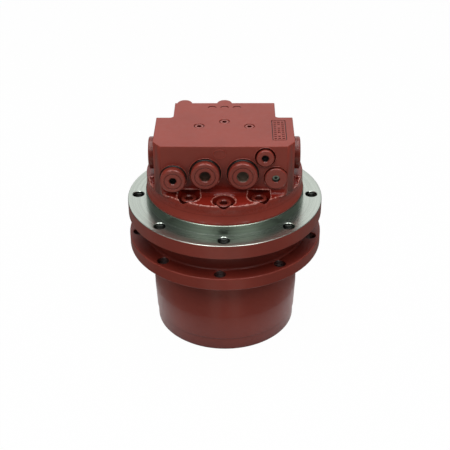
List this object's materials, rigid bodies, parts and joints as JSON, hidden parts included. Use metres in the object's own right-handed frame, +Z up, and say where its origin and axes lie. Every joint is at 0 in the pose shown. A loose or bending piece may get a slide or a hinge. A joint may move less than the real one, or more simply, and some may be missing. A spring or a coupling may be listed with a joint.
{
  "type": "excavator final drive",
  "caption": "Hydraulic travel motor with planetary final drive: rotating sprocket hub, frame flange with pilot, and valve block with plugs and ports.",
  "frame": {"origin": "centre of the circle on which the hub rests, at the floor", "axes": "+Z up along the hub axis from gearbox end to valve block, -Y towards the front plugs of the valve block, +X to the right"},
  "size_m": [0.21, 0.21, 0.2391],
  "materials": {
    "red_paint": "brick red oxide primer over cast iron and steel",
    "casting_paint": "brick red oxide primer, rims painted, flange face and pilot left bare machined steel",
    "plug_paint": "brick red oxide primer over turned steel plugs",
    "bare_steel": "turned bare steel",
    "gear_steel": "case hardened and ground steel",
    "bearing_steel": "ground bearing steel",
    "spring_steel": "oiled spring steel",
    "brake_lining": "sintered friction lining on steel",
    "pump_bronze": "bronze running face on steel",
    "seal_rubber": "black nitrile rubber",
    "seal_iron": "lapped hard iron"
  },
  "bodies": {
    "casing": {"motor_casing": "casting_paint", "valve_block": "red_paint", "block_screws": "plug_paint", "relief_valve_plugs": "plug_paint", "plug_front_left": "plug_paint", "gauge_port_plug": "plug_paint", "gauge_port_screw": "bare_steel", "speed_spool_plug": "plug_paint", "plug_seals": "seal_rubber", "top_plugs": "plug_paint", "spool_caps": "plug_paint", "spool_springs": "spring_steel", "speed_spool_spring": "spring_steel", "valve_plate": "pump_bronze", "shaft_bearings": "bearing_steel", "shaft_oil_seal": "seal_rubber", "brake_separators": "bare_steel", "brake_disc_spring": "spring_steel", "stage2_pins": "gear_steel", "stage2_rollers": "bearing_steel", "main_bearing_inner_races": "bearing_steel", "ring_nut": "bare_steel", "seal_ring_upper": "seal_iron", "casing_rubber_seals": "seal_rubber", "pivot_balls": "bearing_steel"},
    "hub": {"hub_housing": "red_paint", "ring_gear": "gear_steel", "end_cover": "red_paint", "cover_snap_ring": "spring_steel", "cover_plugs": "plug_paint", "thrust_button": "gear_steel", "main_bearing_outer_races": "bearing_steel", "seal_ring_lower": "seal_iron", "hub_rubber_seals": "seal_rubber"},
    "bearing_balls": {"main_bearing_balls": "bearing_steel"},
    "carrier": {"stage1_carrier": "gear_steel", "stage1_pins": "gear_steel", "stage1_rollers": "bearing_steel", "stage2_sun_gear": "gear_steel"},
    "shaft": {"motor_shaft": "gear_steel", "drive_gear": "gear_steel", "cylinder_block": "pump_bronze", "block_spring": "spring_steel", "ball_guide": "gear_steel", "pistons": "bare_steel", "brake_friction_discs": "brake_lining", "front_bearing_inner": "bearing_steel"},
    "swash": {"swash_plate": "gear_steel"},
    "shoes": {"piston_shoes": "pump_bronze", "retainer_plate": "gear_steel"},
    "brake_piston": {"brake_piston": "bare_steel"},
    "speed_piston": {"speed_piston": "bare_steel"},
    "counterbalance_spool": {"counterbalance_spool": "gear_steel"},
    "speed_spool": {"speed_spool": "gear_steel"},
    "stage1_planet_1": {"stage1_planet_1": "gear_steel"},
    "stage1_planet_2": {"stage1_planet_2": "gear_steel"},
    "stage1_planet_3": {"stage1_planet_3": "gear_steel"},
    "stage2_planet_1": {"stage2_planet_1": "gear_steel"},
    "stage2_planet_2": {"stage2_planet_2": "gear_steel"},
    "stage2_planet_3": {"stage2_planet_3": "gear_steel"}
  },
  "joints": [
    {"name": "hub_spin", "type": "hinge", "parent": "casing", "child": "hub", "pos_m": [0, 0, 0.108], "axis": [0, 0, 1], "continuous": true},
    {"name": "bearing_balls_orbit", "type": "hinge", "parent": "casing", "child": "bearing_balls", "pos_m": [0, 0, 0.108], "axis": [0, 0, 1], "continuous": true},
    {"name": "carrier_spin", "type": "hinge", "parent": "casing", "child": "carrier", "pos_m": [0, 0, 0.04195], "axis": [0, 0, 1], "continuous": true},
    {"name": "shaft_spin", "type": "hinge", "parent": "casing", "child": "shaft", "pos_m": [0, 0, 0.1], "axis": [0, 0, 1], "continuous": true, "deforming": ["pistons"]},
    {"name": "stage1_planet_1_spin", "type": "hinge", "parent": "carrier", "child": "stage1_planet_1", "pos_m": [0.036, 0, 0.0312], "axis": [0, 0, 1], "continuous": true},
    {"name": "stage1_planet_2_spin", "type": "hinge", "parent": "carrier", "child": "stage1_planet_2", "pos_m": [-0.018, 0.03118, 0.0312], "axis": [0, 0, 1], "continuous": true},
    {"name": "stage1_planet_3_spin", "type": "hinge", "parent": "carrier", "child": "stage1_planet_3", "pos_m": [-0.018, -0.03118, 0.0312], "axis": [0, 0, 1], "continuous": true},
    {"name": "stage2_planet_1_spin", "type": "hinge", "parent": "casing", "child": "stage2_planet_1", "pos_m": [0.039, 0, 0.05775], "axis": [0, 0, 1], "continuous": true},
    {"name": "stage2_planet_2_spin", "type": "hinge", "parent": "casing", "child": "stage2_planet_2", "pos_m": [-0.0195, 0.03377, 0.05775], "axis": [0, 0, 1], "continuous": true},
    {"name": "stage2_planet_3_spin", "type": "hinge", "parent": "casing", "child": "stage2_planet_3", "pos_m": [-0.0195, -0.03377, 0.05775], "axis": [0, 0, 1], "continuous": true},
    {"name": "swash_tilt", "type": "hinge", "parent": "casing", "child": "swash", "pos_m": [0, 0, 0.1106], "axis": [1, 0, 0], "range_deg": [-5, 0]},
    {"name": "shoes_spin", "type": "hinge", "parent": "swash", "child": "shoes", "pos_m": [0, 0, 0.12185], "axis": [0, -0.2079, 0.9781], "continuous": true},
    {"name": "speed_piston_lift", "type": "slide", "parent": "casing", "child": "speed_piston", "axis": [0, 0, 1], "range_m": [0, 0.0026]},
    {"name": "brake_release", "type": "slide", "parent": "casing", "child": "brake_piston", "axis": [0, 0, 1], "range_m": [0, 0.0015], "stiffness_N_per_m": 2000, "springref_m": -0.002, "deforming": ["brake_disc_spring"]},
    {"name": "counterbalance_shift", "type": "slide", "parent": "casing", "child": "counterbalance_spool", "axis": [1, 0, 0], "range_m": [-0.005, 0.005], "stiffness_N_per_m": 1500, "deforming": ["spool_springs"]},
    {"name": "speed_spool_shift", "type": "slide", "parent": "casing", "child": "speed_spool", "axis": [0, -1, 0], "range_m": [0, 0.004], "stiffness_N_per_m": 600, "springref_m": -0.002, "deforming": ["speed_spool_spring"]}
  ],
  "couplings": [
    {"joint": "bearing_balls_orbit", "follows": "hub_spin", "ratio": 0.5368},
    {"joint": "carrier_spin", "follows": "hub_spin", "ratio": -3.3333},
    {"joint": "shaft_spin", "follows": "hub_spin", "ratio": -25},
    {"joint": "stage1_planet_1_spin", "follows": "hub_spin", "ratio": 10.833},
    {"joint": "stage1_planet_2_spin", "follows": "hub_spin", "ratio": 10.833},
    {"joint": "stage1_planet_3_spin", "follows": "hub_spin", "ratio": 10.833},
    {"joint": "stage2_planet_1_spin", "follows": "hub_spin", "ratio": 2.8571},
    {"joint": "stage2_planet_2_spin", "follows": "hub_spin", "ratio": 2.8571},
    {"joint": "stage2_planet_3_spin", "follows": "hub_spin", "ratio": 2.8571},
    {"joint": "shoes_spin", "follows": "hub_spin", "ratio": -25},
    {"joint": "speed_piston_lift", "follows": "swash_tilt", "m_per_rad": -0.02865}
  ]
}
